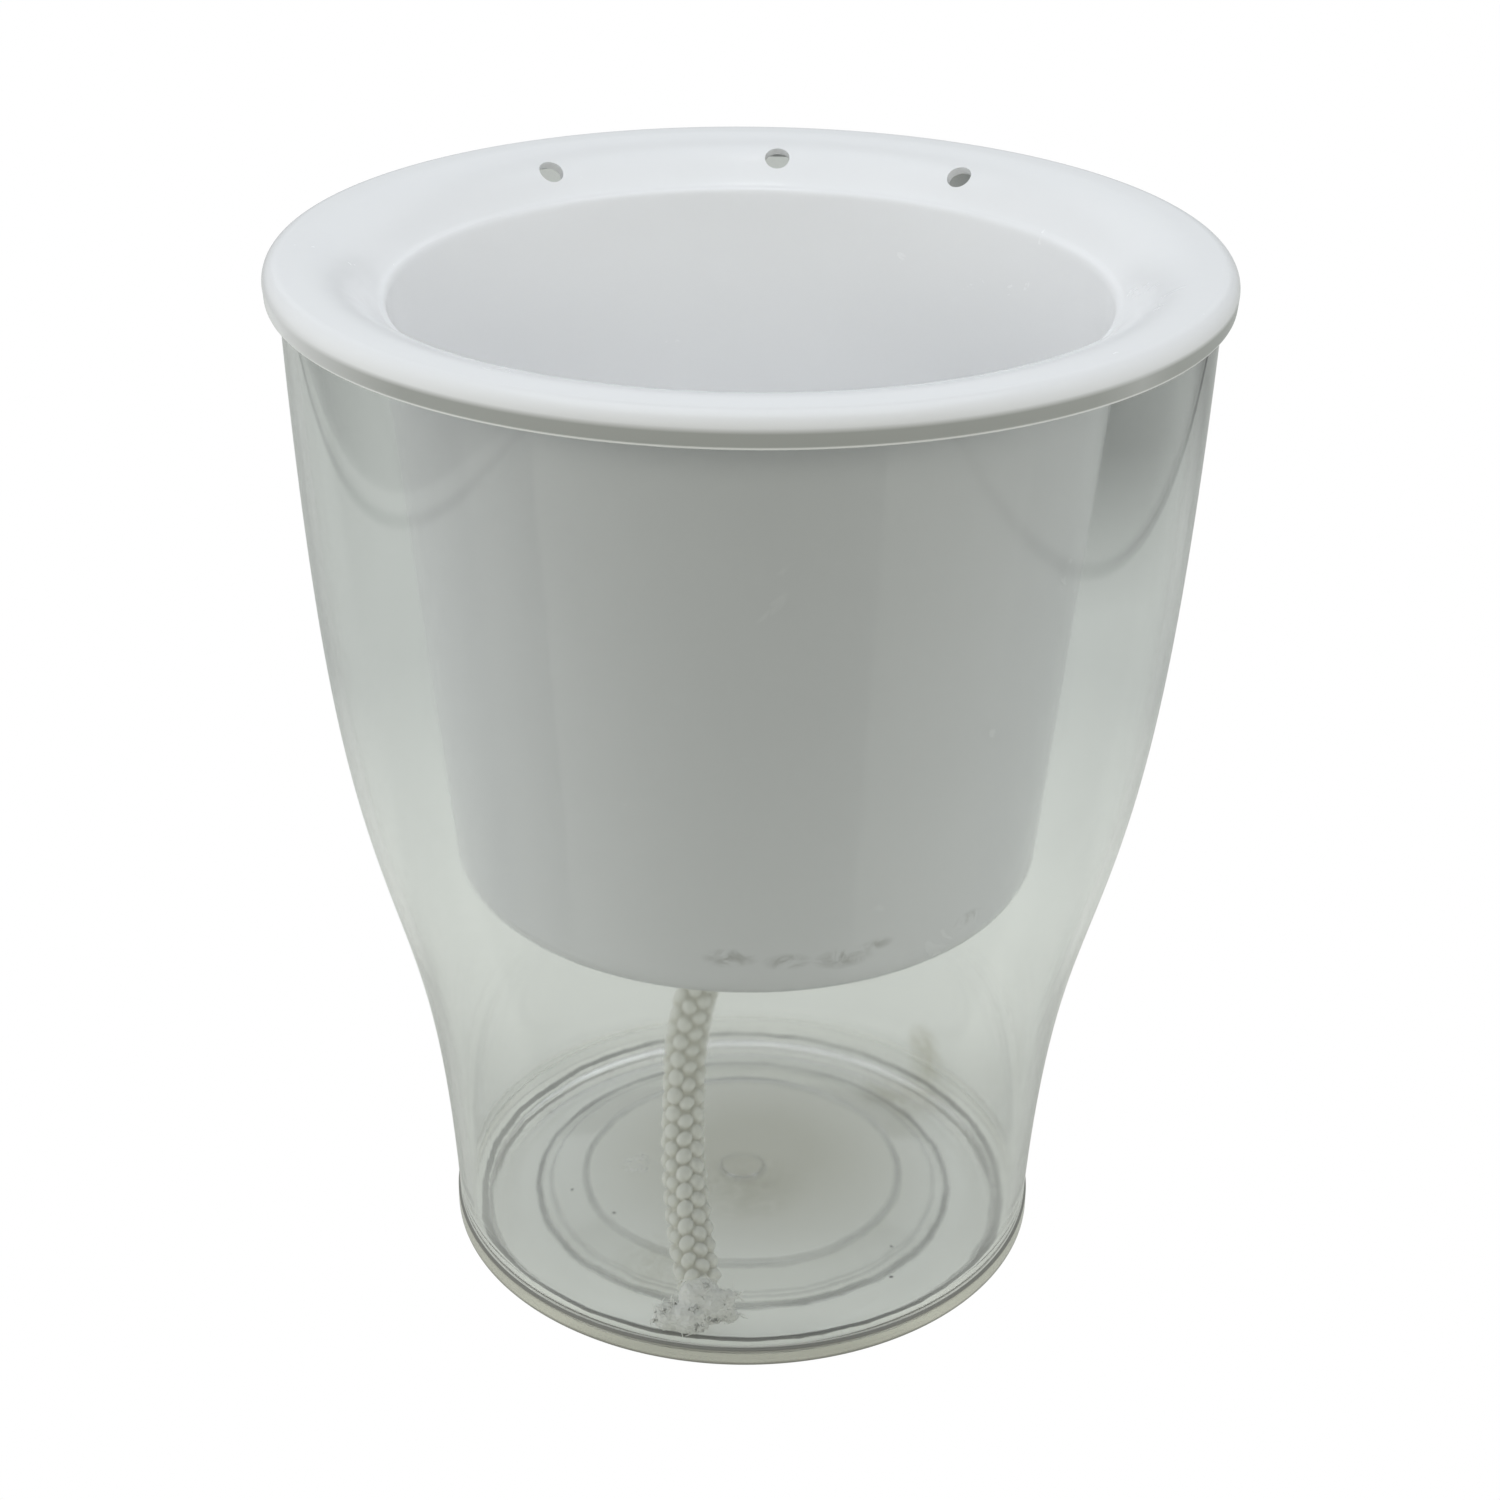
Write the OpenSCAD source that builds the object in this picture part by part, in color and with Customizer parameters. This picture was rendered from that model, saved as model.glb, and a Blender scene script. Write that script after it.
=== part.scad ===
// Self-watering wick planter: a clear reservoir, a white inner pot that hangs in it, and a cotton wick.
// Origin: centre of the foot ring, on the surface that the planter stands on. +Z up, rim holes at +Y.

/* [Reservoir] */
// Height of the reservoir, foot to lip
reservoir_h = 175; // [170:1:185]
// Radius of the foot rim
foot_r = 51.9; // [51.8:0.1:52.4]
// Height of the foot rim
foot_h = 3; // [2:0.5:4]
// Outer radius of the wall just above the foot rim
waist_r = 51.5; // [51:0.1:51.7]
// Outer radius of the wall at the lip
lip_r = 72.8; // [72:0.1:73]
// Wall thickness of the reservoir
wall_t = 2; // [1.5:0.1:2.4]
// Thickness of the reservoir's floor
floor_t = 1.5; // [1.2:0.1:2]
// Clearance under the floor, inside the foot ring
recess_h = 0.4; // [0.3:0.1:0.8]
// Radius where the raised centre of the floor begins to climb
ramp_r = 37.5; // [34:0.5:40]
// Radius of the raised centre's flat top
plateau_r = 28.6; // [24:0.2:30]
// Height of the raised centre above the floor
plateau_h = 2.6; // [1:0.2:4]
// Radius of the moulding gate's disc in the middle of the floor
gate_r = 4; // [3:0.5:6]

/* [Inner pot] */
// Outer radius of the flange
flange_r = 75; // [74.9:0.1:76]
// Height of the bead's crest above the reservoir's lip
crest_h = 1.85; // [1.6:0.05:2.2]
// Radius of the bead's rounded edge
bead_r = 2.75; // [2.4:0.05:3]
// Radius at which the flange's flat top gives way to the funnel
crest_in_r = 69.5; // [69:0.1:70]
// Depth of the skirt that covers the reservoir's lip
skirt_h = 3.6; // [2.5:0.1:6]
// Inner radius of the pot's mouth, below the funnel
mouth_r = 56.5; // [54:0.1:57.5]
// Height of the pot's mouth above the foot
mouth_z = 170; // [168:0.5:171]
// Height of the pot's floor above the foot
pot_z = 70; // [66:1:90]
// Outer radius of the pot at its floor, before the corner is rounded
pot_r = 49; // [46:0.5:50]
// Radius of the pot's bottom corner
pot_corner = 6; // [4:0.5:8]
// Wall thickness of the inner pot
pot_t = 1.6; // [1.4:0.1:2]

/* [Rim holes] */
// Radius of a watering and air hole
rim_hole_r = 2.15; // [1.5:0.05:2.5]
// Distance of the holes from the planter's axis
rim_hole_at = 61.8; // [61:0.1:63]
// Height of the holes above the pot's mouth
rim_hole_rise = 4.15; // [3.8:0.05:4.5]
// Slope of the funnel where the holes are
rim_hole_lean = 39; // [35:1:43]
// Turn of the left hole from straight back
hole_turn_left = -34; // [-40:1:-20]
// Turn of the middle hole from straight back
hole_turn_middle = 4; // [-8:1:8]
// Turn of the right hole from straight back
hole_turn_right = 35; // [20:0.5:40]

/* [Wick] */
// Diameter of the wick cord
wick_d = 7.3; // [5:0.1:7.4]
// Sides of the wick's plain tube
wick_sides = 10; // [8:2:12]
// Radial clearance of the wick in the pot's hole
wick_gap = 0.25; // [0.2:0.05:0.5]

/* [Hidden] */

$fn = 96;

wall_steps = 28;
bend_steps = 8;
edge_r = 0.4;
inner_fillet = 1.1;
gate_h = 0.3;

foot_seat_w = 5.4;
floor_z = recess_h + floor_t;
waist_z = foot_h + edge_r;

// Handles of the wall's curve: the lower one holds the waist upright, the upper one swells the belly.
belly_low = [waist_r + 3.5, 84.5];
belly_high = [lip_r - 3, 50.5];

roof_z = reservoir_h;
crest_z = reservoir_h + crest_h;
bead_centre = [flange_r - bead_r, crest_z - bead_r];
skirt_in = lip_r + 0.5;
skirt_z = reservoir_h - skirt_h;

// The funnel leaves the flange's flat top level and runs down to the mouth. Its underside meets the lip's level.
funnel_top = [crest_in_r, crest_z];
funnel_foot = [mouth_r + 1.1, mouth_z + 0.3];
funnel_drop = crest_h;
funnel_mid_in = [-6.7, 0];
funnel_mid_out = [2.9, 2.3];

wick_r = wick_d / 2;
wick_hole_r = wick_r + wick_gap;

// The wick's route: its upper tail on the pot's floor, up and over into the hole, and down to the water.
wick_route = [
    [-36.5, 2, 75.6],
    [-34, 13.5, 75.6],
    [-28, 23.5, 75.6],
    [-19.5, 31, 75.6],
    [-9, 35.5, 75.6],
    [2, 36.5, 75.6],
    [12.5, 34, 75.8],
    [20, 29, 77],
    [24.5, 22.5, 79.3],
    [24.5, 14.5, 82.3],
    [20.5, 7.5, 85],
    [14, 2.5, 86],
    [7, 0.5, 84],
    [2, 0, 79],
    [0, 0, 73],
    [0, 0, 68.5],
    [-1.5, -0.5, 62],
    [-4.5, -2, 54],
    [-8.2, -5, 45],
    [-10, -9, 36.5],
    [-10.3, -14, 30],
    [-10.2, -20.5, 23],
    [-9.3, -28, 16.7],
    [-8.1, -35.5, 11.2],
    [-6.7, -41, 8],
];

// Centre and radius of each lobe of the frayed end, left to right.
frayed_lobes = [
    [[-12.6, -44.3, 4.8], 2.4],
    [[-8, -45.2, 5], 2.7],
    [[-3.9, -44, 7], 2.6],
    [[-6.9, -42, 7.6], 3.4],
];

// Points of a cubic curve from a to d, with handles b and c.
function curve(a, b, c, d, steps) = [
    for (i = [0 : steps])
        let (t = i / steps, s = 1 - t)
        s * s * s * a + 3 * s * s * t * b + 3 * s * t * t * c + t * t * t * d
];

// Points of an arc about a centre, from one angle to another.
function arc(centre, r, from, to, steps) = [
    for (i = [0 : steps])
        let (angle = from + (to - from) * i / steps)
        centre + r * [cos(angle), sin(angle)]
];

function reversed(list) = [for (i = [len(list) - 1 : -1 : 0]) list[i]];

function moved(list, by) = [for (p = list) p + by];

wall_curve = curve([waist_r, waist_z], belly_low, belly_high, [lip_r, reservoir_h - edge_r], wall_steps);
inner_curve = [for (p = moved(wall_curve, [-wall_t, 0])) if (p[1] > floor_z + inner_fillet) p];
fillet_centre = [inner_curve[0][0] - inner_fillet, floor_z + inner_fillet];

module reservoir() {
    outside = concat(
        [[foot_r - foot_seat_w, 0], [foot_r - edge_r, 0], [foot_r, edge_r], [foot_r, foot_h]],
        wall_curve,
        [[lip_r - edge_r, reservoir_h], [lip_r - wall_t + edge_r, reservoir_h]]
    );
    inside = concat(
        reversed(inner_curve),
        arc(fillet_centre, inner_fillet, 0, -90, bend_steps),
        [[ramp_r, floor_z], [plateau_r, floor_z + plateau_h]],
        [[gate_r, floor_z + plateau_h], [gate_r - edge_r, floor_z + plateau_h + gate_h]],
        [[0, floor_z + plateau_h + gate_h]]
    );
    underside = [
        [0, recess_h + plateau_h],
        [plateau_r + edge_r, recess_h + plateau_h],
        [ramp_r + edge_r, recess_h],
        [foot_r - foot_seat_w - recess_h, recess_h],
    ];
    color([0.78, 0.82, 0.8, 0.35])
        rotate_extrude()
            polygon(concat(outside, inside, underside));
}

// Outer radius of the inner pot's tapered wall at a height.
function pot_wall_r(z) = pot_r + (mouth_r + pot_t - pot_r) * (z - pot_z) / (mouth_z - pot_z);

funnel = curve(
    funnel_top, funnel_top + funnel_mid_in, funnel_foot + funnel_mid_out, funnel_foot, wall_steps / 2
);
corner_outer = [pot_wall_r(pot_z + pot_corner) - pot_corner, pot_z + pot_corner];

module pot_shell() {
    top = concat(
        arc(bead_centre, bead_r, 0, 90, 2 * bend_steps),
        funnel,
        curve(funnel_foot, [mouth_r + 0.3, mouth_z + 0.1], [mouth_r, mouth_z - 0.3],
              [mouth_r - 0.1, mouth_z - 1.2], bend_steps)
    );
    inside = concat(
        arc(corner_outer, pot_corner - pot_t, 0, -90, bend_steps),
        [[wick_hole_r, pot_z + pot_t], [wick_hole_r, pot_z]]
    );
    outside = concat(
        arc(corner_outer, pot_corner, -90, 0, bend_steps),
        [[pot_wall_r(mouth_z - funnel_drop - 2), mouth_z - funnel_drop - 2]],
        moved(reversed(funnel), [0, -funnel_drop])
    );
    skirt = [
        [skirt_in, roof_z],
        [skirt_in, skirt_z + edge_r],
        [skirt_in + edge_r, skirt_z],
        [flange_r - 2 * edge_r, skirt_z],
        [flange_r - edge_r / 2, skirt_z + 1.5 * edge_r],
    ];
    rotate_extrude()
        polygon(concat(top, inside, outside, skirt));
}

// One rim hole, drilled square to the funnel.
module rim_hole(turn) {
    rotate([0, 0, -turn])
        translate([0, rim_hole_at, mouth_z + rim_hole_rise])
            rotate([rim_hole_lean, 0, 0])
                cylinder(r = rim_hole_r, h = 16, center = true);
}

module inner_pot() {
    color([0.9, 0.92, 0.95])
        difference() {
            pot_shell();
            for (turn = [hole_turn_left, hole_turn_middle, hole_turn_right])
                rim_hole(turn);
        }
}

function unit(v) = v / norm(v);

function heading(route, i) = unit(route[min(i + 1, len(route) - 1)] - route[max(i - 1, 0)]);

// A direction square to the route, carried along it without twist.
function side_of(route, i) =
    let (t = heading(route, i), n = i == 0 ? [0, 0, 1] : side_of(route, i - 1))
    unit(n - (n * t) * t);

function ring(route, i, r, sides) =
    let (t = heading(route, i), n = side_of(route, i), b = cross(t, n))
    [for (k = [0 : sides - 1]) route[i] + r * (cos(360 * k / sides) * n + sin(360 * k / sides) * b)];

module tube(route, r, sides) {
    last = len(route) - 1;
    points = [for (i = [0 : last]) each ring(route, i, r, sides)];
    walls = [
        for (i = [0 : last - 1])
            for (k = [0 : sides - 1])
                let (a = i * sides + k, b = i * sides + (k + 1) % sides)
                each [[a, a + sides, b], [b, a + sides, b + sides]]
    ];
    near_cap = [for (k = [0 : sides - 1]) k];
    far_cap = [for (k = [sides - 1 : -1 : 0]) last * sides + k];
    polyhedron(points, concat(walls, [near_cap], [far_cap]));
}

module wick() {
    color([0.93, 0.93, 0.88])
        tube(wick_route, wick_r, wick_sides);
}

module wick_frayed_end() {
    color([0.95, 0.95, 0.9])
        hull()
            for (lobe = frayed_lobes)
                translate(lobe[0])
                    sphere(r = lobe[1], $fn = 20);
}

reservoir();
inner_pot();
wick();
wick_frayed_end();
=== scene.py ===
import math
import random

import bmesh
import bpy
import numpy as np
from mathutils import Matrix, Vector, noise


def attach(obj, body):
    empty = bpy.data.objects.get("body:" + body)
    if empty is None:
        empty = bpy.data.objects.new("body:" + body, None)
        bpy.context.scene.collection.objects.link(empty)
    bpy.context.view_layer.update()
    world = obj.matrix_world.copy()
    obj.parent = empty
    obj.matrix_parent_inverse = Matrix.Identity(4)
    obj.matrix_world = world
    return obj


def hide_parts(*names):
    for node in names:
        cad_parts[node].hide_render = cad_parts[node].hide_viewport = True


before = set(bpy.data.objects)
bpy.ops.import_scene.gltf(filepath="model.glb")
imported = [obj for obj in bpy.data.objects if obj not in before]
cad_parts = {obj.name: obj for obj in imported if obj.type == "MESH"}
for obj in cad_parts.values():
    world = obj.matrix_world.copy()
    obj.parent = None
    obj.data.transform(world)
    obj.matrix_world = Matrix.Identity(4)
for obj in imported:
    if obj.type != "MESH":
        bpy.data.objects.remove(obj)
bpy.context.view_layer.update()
MM = 0.001

# ---------------------------------------------------------------- driving dimensions, in millimetres
RESERVOIR_H = 175
FOOT_R = 51.9
FOOT_H = 3
FOOT_SEAT_W = 5.4
WAIST_R = 51.5
LIP_R = 72.8
WALL_T = 2
FLOOR_T = 1.5
RECESS_H = 0.4
RAMP_R = 37.5
PLATEAU_R = 28.6
PLATEAU_H = 2.6
GATE_R = 4
GATE_H = 0.3
EDGE_R = 0.4
INNER_FILLET = 0.35
BELLY_LOW = (WAIST_R + 3.5, 84.5)
BELLY_HIGH = (LIP_R - 3, 50.5)

FLANGE_R = 75
CREST_Z = RESERVOIR_H + 1.85
BEAD_R = 2.75
SKIRT_Z = RESERVOIR_H - 3.6
SKIRT_IN = LIP_R + 0.5
MOUTH_R = 56.5
MOUTH_Z = 170
POT_Z = 70
POT_R = 49
POT_CORNER = 6
POT_T = 1.6
CREST_IN_R = 69.5
FUNNEL_DROP = 1.85
FUNNEL_MID_IN = (-6.7, 0)
FUNNEL_MID_OUT = (2.9, 2.3)

RIM_HOLE_R = 2.15
RIM_HOLE_AT = 61.8
RIM_HOLE_RISE = 4.15
RIM_HOLE_LEAN = 39
RIM_HOLE_TURNS = (-34, 4, 35)

WICK_D = 7.3
WICK_HOLE_R = WICK_D / 2 + 0.25
WICK_ROUTE = [
    (-36.5, 2, 75.6), (-34, 13.5, 75.6), (-28, 23.5, 75.6), (-19.5, 31, 75.6), (-9, 35.5, 75.6),
    (2, 36.5, 75.6), (12.5, 34, 75.8), (20, 29, 77), (24.5, 22.5, 79.3), (24.5, 14.5, 82.3),
    (20.5, 7.5, 85), (14, 2.5, 86), (7, 0.5, 84), (2, 0, 79), (0, 0, 73),
    (0, 0, 68.5), (-1.5, -0.5, 62), (-4.5, -2, 54), (-8.2, -5, 45), (-10, -9, 36.5),
    (-10.3, -14, 30), (-10.2, -20.5, 23), (-9.3, -28, 16.7), (-8.1, -35.5, 11.2), (-6.7, -41, 8),
]


# ---------------------------------------------------------------- camera
def add_camera():
    """A camera in front of the planter and above it, at the photograph's angle."""
    place = Vector((0.6, -411.3, 299.7)) * MM
    pitch, roll = math.radians(27.17), math.radians(0.59)
    camera = bpy.data.objects.new("camera", bpy.data.cameras.new("camera"))
    bpy.context.scene.collection.objects.link(camera)
    turn = Matrix.Rotation(math.pi / 2 - pitch, 4, "X") @ Matrix.Rotation(roll, 4, "Z")
    camera.matrix_world = Matrix.Translation(place) @ turn
    camera.data.sensor_width = 36
    camera.data.lens = 65.5
    camera.data.shift_y = 0.002
    camera.data.clip_start = 0.01
    bpy.context.scene.camera = camera


# ---------------------------------------------------------------- mesh helpers
def new_piece(name, points, faces, smooth=True):
    mesh = bpy.data.meshes.new(name)
    mesh.from_pydata([tuple(p) for p in points], [], [tuple(f) for f in faces])
    mesh.update()
    if smooth:
        mesh.shade_smooth()
    piece = bpy.data.objects.new(name, mesh)
    bpy.context.scene.collection.objects.link(piece)
    return piece


def curve(a, b, c, d, steps):
    """Points of a cubic curve from a to d, with handles b and c."""
    a, b, c, d = (np.array(p, float) for p in (a, b, c, d))
    found = []
    for i in range(steps + 1):
        t = i / steps
        s = 1 - t
        found.append(tuple(s**3 * a + 3 * s * s * t * b + 3 * s * t * t * c + t**3 * d))
    return found


def arc(centre, r, start, end, steps):
    """Points of an arc about a centre, from one angle to another, in degrees."""
    angles = [math.radians(start + (end - start) * i / steps) for i in range(steps + 1)]
    return [(centre[0] + r * math.cos(a), centre[1] + r * math.sin(a)) for a in angles]


def moved(points, by):
    return [(p[0] + by[0], p[1] + by[1]) for p in points]


def straight(a, b, steps):
    """Points between a and b, without the two ends."""
    return [
        (a[0] + (b[0] - a[0]) * i / steps, a[1] + (b[1] - a[1]) * i / steps)
        for i in range(1, steps)
    ]


def lathe(name, profile, around, wobble=None):
    """A closed solid turned from a closed profile of (radius, height) points, in millimetres.
    Points on the axis become one vertex. wobble(radius, height, angle) gives a small change of radius."""
    points, rings, faces = [], [], []
    for r, z in profile:
        if r < 1e-6:
            rings.append([len(points)])
            points.append((0, 0, z * MM))
            continue
        ring = []
        for k in range(around):
            angle = math.tau * k / around
            reach = r + (wobble(r, z, angle) if wobble else 0)
            ring.append(len(points))
            points.append((reach * MM * math.cos(angle), reach * MM * math.sin(angle), z * MM))
        rings.append(ring)
    for low, high in zip(rings, rings[1:] + rings[:1]):
        if len(low) == 1 and len(high) == 1:
            continue
        for k in range(around):
            n = (k + 1) % around
            if len(low) == 1:
                faces.append((low[0], high[n], high[k]))
            elif len(high) == 1:
                faces.append((low[k], low[n], high[0]))
            else:
                faces.append((low[k], low[n], high[n], high[k]))
    return new_piece(name, points, faces)


# ---------------------------------------------------------------- wick
BRAID_COLUMNS = 8
BRAID_PITCH = 3.15
BRAID_STEP = 0.25
BRAID_SIDES = 96
BRAID_TWIST = 1.2
BRAID_TURN = math.radians(22.5)
STITCH_LEAN = math.radians(28)
STITCH_HALF_LENGTH = 1.35
STITCH_HALF_WIDTH = 1.6
STITCH_H = 1.15
BRAID_CORE_R = 2.8


def smooth_line(points, step):
    """Points a fixed step apart along the smooth line through the given points."""
    p = [Vector(q) for q in points]
    ends = [2 * p[0] - p[1], *p, 2 * p[-1] - p[-2]]
    fine = []
    for i in range(1, len(ends) - 2):
        for k in range(20):
            t = k / 20
            a, b, c, d = ends[i - 1 : i + 3]
            fine.append(
                0.5 * (
                    2 * b + (c - a) * t + (2 * a - 5 * b + 4 * c - d) * t * t
                    + (3 * b - a - 3 * c + d) * t**3
                )
            )
    fine.append(p[-1])
    lengths = np.cumsum([0] + [(b - a).length for a, b in zip(fine, fine[1:])])
    at = np.linspace(0, lengths[-1], round(lengths[-1] / step) + 1)
    xyz = np.array(fine)
    return np.stack([np.interp(at, lengths, xyz[:, k]) for k in range(3)], 1), at


def carried_frames(line):
    """Two directions at each point of a line, square to it and each other, carried along without twist."""
    headings = np.gradient(line, axis=0)
    headings /= np.linalg.norm(headings, axis=1)[:, None]
    side = np.array([0.0, 0.0, 1.0])
    sides = []
    for t in headings:
        side = side - side.dot(t) * t
        side /= np.linalg.norm(side)
        sides.append(side)
    sides = np.array(sides)
    return sides, np.cross(headings, sides)


def stitch_height(along, angle, slack):
    """How far the braid's stitches stand above its core, at a distance along the cord and an angle round it.
    Eight columns of stitches lie round the cord, each half a stitch ahead of the last, and lean by turns."""
    best = np.zeros_like(along)
    column_width = math.tau * (WICK_D / 2 - 0.3) / BRAID_COLUMNS
    for column in range(BRAID_COLUMNS):
        centre = math.tau * column / BRAID_COLUMNS + BRAID_TURN + math.radians(BRAID_TWIST) * along
        off = (angle - centre + math.pi) % math.tau - math.pi
        across = off / (math.tau / BRAID_COLUMNS) * column_width
        lean = STITCH_LEAN if column % 2 else -STITCH_LEAN
        start = (column % 2) / 2
        nearest = np.round(along / BRAID_PITCH - start)
        for neighbour in (-1, 0, 1):
            row = nearest + neighbour
            scatter = 0.5 + 0.5 * np.sin(row * 12.9898 + column * 78.233 + slack)
            down = along - (row + start + 0.12 * (scatter - 0.5)) * BRAID_PITCH
            u = down * math.cos(lean) + across * math.sin(lean)
            v = -down * math.sin(lean) + across * math.cos(lean)
            length = STITCH_HALF_LENGTH * (0.88 + 0.24 * scatter)
            width = STITCH_HALF_WIDTH * (0.95 + 0.1 * scatter)
            inside = 1 - (u / length) ** 2 - (v / width) ** 2
            best = np.maximum(best, np.sqrt(np.clip(inside, 0, 1)) * (0.85 + 0.3 * scatter))
    return best * STITCH_H


def braided_cord(name, route):
    """The wick: a closed tube along the route, whose surface is the braid's own stitches."""
    line, at = smooth_line(route, BRAID_STEP)
    side, other = carried_frames(line)
    angles = np.linspace(0, math.tau, BRAID_SIDES, endpoint=False)
    along, angle = np.meshgrid(at, angles, indexing="ij")
    height = stitch_height(along, angle, 0.0)
    reach = BRAID_CORE_R + height
    ends = np.minimum(at, at[-1] - at)[:, None]
    reach = reach * np.clip(ends / 1.2, 0.55, 1) ** 0.5
    out = np.cos(angle)[..., None] * side[:, None] + np.sin(angle)[..., None] * other[:, None]
    points = (line[:, None] + reach[..., None] * out) * MM
    rows, n = points.shape[:2]
    faces = []
    for i in range(rows - 1):
        for k in range(n):
            m = (k + 1) % n
            faces.append((i * n + k, i * n + m, (i + 1) * n + m, (i + 1) * n + k))
    flat = points.reshape(-1, 3).tolist()
    first, last = len(flat), len(flat) + 1
    flat += [tuple(line[0] * MM), tuple(line[-1] * MM)]
    for k in range(n):
        m = (k + 1) % n
        faces.append((first, m, k))
        faces.append((last, (rows - 1) * n + k, (rows - 1) * n + m))
    piece = new_piece(name, flat, faces)
    stitch = piece.data.attributes.new("stitch", "FLOAT", "POINT")
    stitch.data.foreach_set("value", np.append((height / STITCH_H).ravel(), [0.5, 0.5]).astype(np.float32))
    place = piece.data.attributes.new("cord_place", "FLOAT_VECTOR", "POINT")
    rows_of = np.stack([along, angle * WICK_D / 2, np.zeros_like(along)], -1).reshape(-1, 3)
    rows_of = np.vstack([rows_of, [[0, 0, 0], [at[-1], 0, 0]]])
    place.data.foreach_set("vector", rows_of.astype(np.float32).ravel())
    return piece, line[::16] * MM, at[-1] * MM


# ---------------------------------------------------------------- frayed end of the wick
FRAY_LOBES = [
    ((-6.9, -42, 7.6), 3.5), ((-8.2, -44.9, 5.2), 3.2), ((-12, -44.2, 4.7), 2.6),
    ((-4.4, -43.5, 6.7), 3.0), ((-2.1, -43.3, 8.2), 1.4), ((-1.9, -44.5, 5.4), 1.4),
]
FLUFF_CELL = 0.2
YARN_R = 0.1
YARN_COUNT = 180
YARN_POINTS = 12


def fluff(name):
    """The matted cotton: one lumpy skin round all the lobes, with its surface broken up by noise."""
    shape = bmesh.new()
    for centre, r in FRAY_LOBES:
        place = Matrix.Translation(Vector(centre) * MM)
        bmesh.ops.create_icosphere(shape, subdivisions=4, radius=r * MM, matrix=place)
    mesh = bpy.data.meshes.new(name)
    shape.to_mesh(mesh)
    shape.free()
    lump = bpy.data.objects.new(name, mesh)
    bpy.context.scene.collection.objects.link(lump)
    skin = lump.modifiers.new("skin", "REMESH")
    skin.mode = "VOXEL"
    skin.voxel_size = FLUFF_CELL * MM
    soften = lump.modifiers.new("soften", "SMOOTH")
    soften.factor = 0.7
    soften.iterations = 12
    ready = bpy.context.evaluated_depsgraph_get()
    soft = bpy.data.meshes.new_from_object(lump.evaluated_get(ready))
    bpy.data.objects.remove(lump)
    for v in soft.vertices:
        at = v.co / MM
        lumps = noise.fractal(at * 0.45, 0.9, 2.1, 3)
        strands = abs(noise.noise(Vector((at.x * 1.3, at.y * 1.3, at.z * 2.6))))
        v.co += v.normal * (0.5 * lumps - 0.4 * strands) * MM
        v.co.z = max(v.co.z, (FLOOR_T + RECESS_H + 0.05) * MM)
    points = [tuple(v.co) for v in soft.vertices]
    faces = [tuple(f.vertices) for f in soft.polygons]
    normals = [v.normal.copy() for v in soft.vertices]
    return points, faces, normals


def yarn(points, faces, line, radius):
    """A thin round yarn along a line of points, in millimetres, thinner at its far end."""
    line = np.array(line)
    side, other = carried_frames(line)
    sides = 5
    first = len(points)
    for i, p in enumerate(line):
        r = radius * min(1, 0.3 + 2 * (1 - i / (len(line) - 1)))
        for k in range(sides):
            a = math.tau * k / sides
            points.append(tuple((p + r * (math.cos(a) * side[i] + math.sin(a) * other[i])) * MM))
    for i in range(len(line) - 1):
        for k in range(sides):
            m = (k + 1) % sides
            a, b = first + i * sides, first + (i + 1) * sides
            faces.append((a + k, a + m, b + m, b + k))
    faces.append(tuple(first + k for k in reversed(range(sides))))
    faces.append(tuple(first + (len(line) - 1) * sides + k for k in range(sides)))


def frayed_end(name):
    """The wick's loose lower end: matted cotton with fine curled yarns over it."""
    dice = random.Random(11)
    points, faces, normals = fluff(name)
    skin = [Vector(p) / MM for p in points]
    low = FLOOR_T + RECESS_H + YARN_R
    for _ in range(YARN_COUNT):
        pick = dice.randrange(len(skin))
        out = normals[pick]
        way = out.cross(Vector([dice.gauss(0, 1) for _ in range(3)])).normalized()
        spin = Matrix.Rotation(dice.uniform(-0.25, 0.25), 3, out)
        lift = dice.uniform(0.02, 0.28) ** 2
        here = skin[pick] - out * 0.15
        line = []
        for k in range(YARN_POINTS):
            line.append((here.x, here.y, max(here.z, low)))
            way = (spin @ way).normalized()
            away = out * lift * (0.25 + k / YARN_POINTS)
            here = here + (way + away - out * 0.12 * k / YARN_POINTS) * 0.2
        yarn(points, faces, line, YARN_R * dice.uniform(0.6, 1.3))
    return new_piece(name, points, faces)


# ---------------------------------------------------------------- profiles of the two shells
def rounded(corners, steps=5, support=0.22):
    """A line through corners (radius, height, rounding) with each corner rounded, and a point close beside
    each rounded corner so that flat runs stay flat when shaded."""
    found = []
    n = len(corners)
    for i, (x, z, r) in enumerate(corners):
        here = Vector((x, z))
        if r <= 0 or i in (0, n - 1):
            found.append((x, z))
            continue
        before = Vector(corners[i - 1][:2]) - here
        after = Vector(corners[i + 1][:2]) - here
        a_len = min(r, before.length * 0.45)
        b_len = min(r, after.length * 0.45)
        a = here + before.normalized() * a_len
        b = here + after.normalized() * b_len
        found.append(tuple(a + before.normalized() * min(support, 0.3 * before.length)))
        for k in range(steps + 1):
            t = k / steps
            found.append(tuple((1 - t) ** 2 * a + 2 * t * (1 - t) * here + t * t * b))
        found.append(tuple(b + after.normalized() * min(support, 0.3 * after.length)))
    return found


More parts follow.
